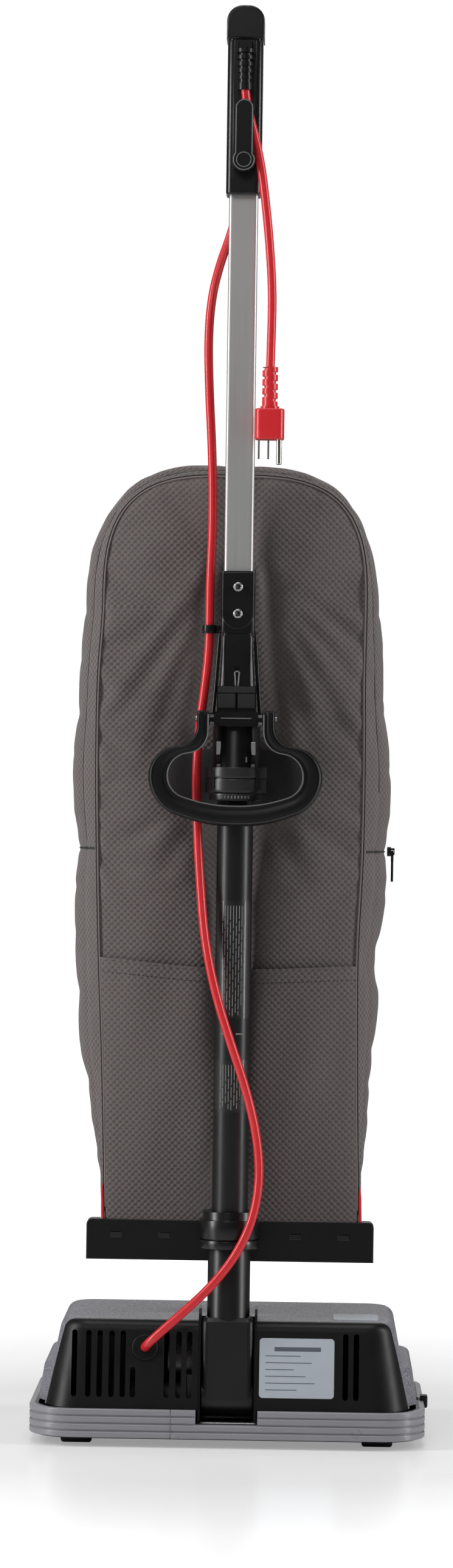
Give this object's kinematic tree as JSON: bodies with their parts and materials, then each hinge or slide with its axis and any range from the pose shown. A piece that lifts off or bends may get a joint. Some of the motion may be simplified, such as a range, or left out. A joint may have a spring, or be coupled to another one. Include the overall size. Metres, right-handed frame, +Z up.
{
  "type": "upright vacuum cleaner",
  "caption": "Upright vacuum cleaner with a reclining wand, zipped cloth outer bag, swinging hand loop, belt-driven brush roll and a wrapped bumper.",
  "frame": {"origin": "on the floor, under the middle of the cleaner's footprint", "axes": "+Z up; +Y to the front, where the brush is; +X to the right of a user who stands behind at -Y"},
  "size_m": [0.3385, 0.2415, 1.213],
  "materials": {
    "black_plastic": "satin",
    "cover_black": "satin, fine grain",
    "hood_grey": "textured, speckled grey",
    "bumper_grey": "satin",
    "wand_black": "semi gloss",
    "joint_black": "satin",
    "loop_black": "soft, satin",
    "blank_label": "silver film, blank",
    "tube_label": "dark film, blank",
    "handle_metal": "satin anodised",
    "steel": "bright",
    "motor_iron": "lacquered",
    "duct_plastic": "moulded",
    "belt_rubber": "matt",
    "brush_plastic": "moulded",
    "bristle": "stiff nylon",
    "bag_cloth": "embossed taupe cloth",
    "zip_cloth": "woven tape",
    "zip_metal": "black enamel",
    "red_trim": "woven",
    "bag_paper": "filter paper",
    "bag_card": "plain",
    "cord_red": "glossy",
    "plug_metal": "nickel plated"
  },
  "bodies": {
    "base": {"chassis": "black_plastic", "bumper": "bumper_grey", "bottom_plate": "steel", "hood": "hood_grey", "rear_cover": "cover_black", "pivot_bearings": "duct_plastic", "cord_grommet": "black_plastic", "rating_label": "blank_label", "hood_badge": "blank_label", "rear_axle": "steel", "front_glides": "black_plastic", "base_screws": "steel", "motor_can": "steel", "motor_stator": "motor_iron", "motor_mounts": "duct_plastic", "fan_housing": "duct_plastic", "outlet_duct": "duct_plastic", "intake_duct": "duct_plastic", "brush_chamber": "black_plastic", "brush_bearings": "duct_plastic", "drive_belt": "belt_rubber", "edge_brushes": "bristle"},
    "wand": {"pivot_fork": "wand_black", "lower_collar": "joint_black", "fill_tube": "wand_black", "tube_labels": "tube_label", "elbow": "joint_black", "bag_collar": "black_plastic", "handle_socket": "joint_black", "socket_screws": "steel", "handle_tube": "handle_metal", "grip_left": "joint_black", "grip_right": "joint_black", "switch_body": "black_plastic", "strain_relief": "black_plastic", "cord_clip": "black_plastic", "loop_pin": "steel", "outer_bag": "bag_cloth", "zip_tape": "zip_cloth", "paper_bag": "bag_paper", "bag_card": "bag_card", "back_pocket": "bag_cloth", "bag_rail": "black_plastic", "red_tabs": "red_trim", "feed_cord": "cord_red", "plug_cord": "cord_red", "plug_body": "cord_red", "plug_pins": "plug_metal"},
    "hand_loop": {"hand_loop": "loop_black"},
    "cord_hook": {"cord_hook": "black_plastic"},
    "power_switch": {"switch_rocker": "joint_black"},
    "zip_slider": {"zip_slider": "zip_metal"},
    "zip_pull": {"zip_pull": "zip_metal"},
    "plate_latch": {"plate_latch": "black_plastic"},
    "rotor": {"motor_armature": "motor_iron", "fan_impeller": "duct_plastic"},
    "brush_roll": {"brush_core": "brush_plastic", "brush_bristles": "bristle"},
    "wheel_left": {"wheel_left": "belt_rubber"},
    "wheel_right": {"wheel_right": "belt_rubber"}
  },
  "joints": [
    {"name": "recline", "type": "hinge", "parent": "base", "child": "wand", "pos_m": [0, -0.084, 0.04], "axis": [1, 0, 0], "range_deg": [0, 80], "deforming": ["feed_cord"]},
    {"name": "loop_swing", "type": "hinge", "parent": "wand", "child": "hand_loop", "pos_m": [0, -0.106, 0.612], "axis": [-1, 0, 0], "range_deg": [0, 100]},
    {"name": "hook_turn", "type": "hinge", "parent": "wand", "child": "cord_hook", "pos_m": [0, -0.1145, 1.081], "axis": [0, 1, 0], "range_deg": [0, 180]},
    {"name": "switch_rock", "type": "hinge", "parent": "wand", "child": "power_switch", "pos_m": [0, -0.073, 1.152], "axis": [1, 0, 0], "range_deg": [0, 10]},
    {"name": "zip_slide", "type": "slide", "parent": "wand", "child": "zip_slider", "axis": [0, 1, 0], "range_m": [0, 0.03]},
    {"name": "pull_swing", "type": "hinge", "parent": "zip_slider", "child": "zip_pull", "pos_m": [0.1348, 0, 0.501], "axis": [0, -1, 0], "range_deg": [0, 90]},
    {"name": "latch_slide", "type": "slide", "parent": "base", "child": "plate_latch", "axis": [0, 1, 0], "range_m": [0, 0.006]},
    {"name": "rotor_spin", "type": "hinge", "parent": "base", "child": "rotor", "pos_m": [0, 0.004, 0.058], "axis": [1, 0, 0], "continuous": true},
    {"name": "brush_spin", "type": "hinge", "parent": "base", "child": "brush_roll", "pos_m": [0, 0.07, 0.0275], "axis": [1, 0, 0], "continuous": true},
    {"name": "wheel_left_spin", "type": "hinge", "parent": "base", "child": "wheel_left", "pos_m": [-0.127, -0.088, 0.017], "axis": [1, 0, 0], "continuous": true},
    {"name": "wheel_right_spin", "type": "hinge", "parent": "base", "child": "wheel_right", "pos_m": [0.127, -0.088, 0.017], "axis": [1, 0, 0], "continuous": true}
  ],
  "couplings": [
    {"joint": "brush_spin", "follows": "rotor_spin", "ratio": 0.6667}
  ]
}
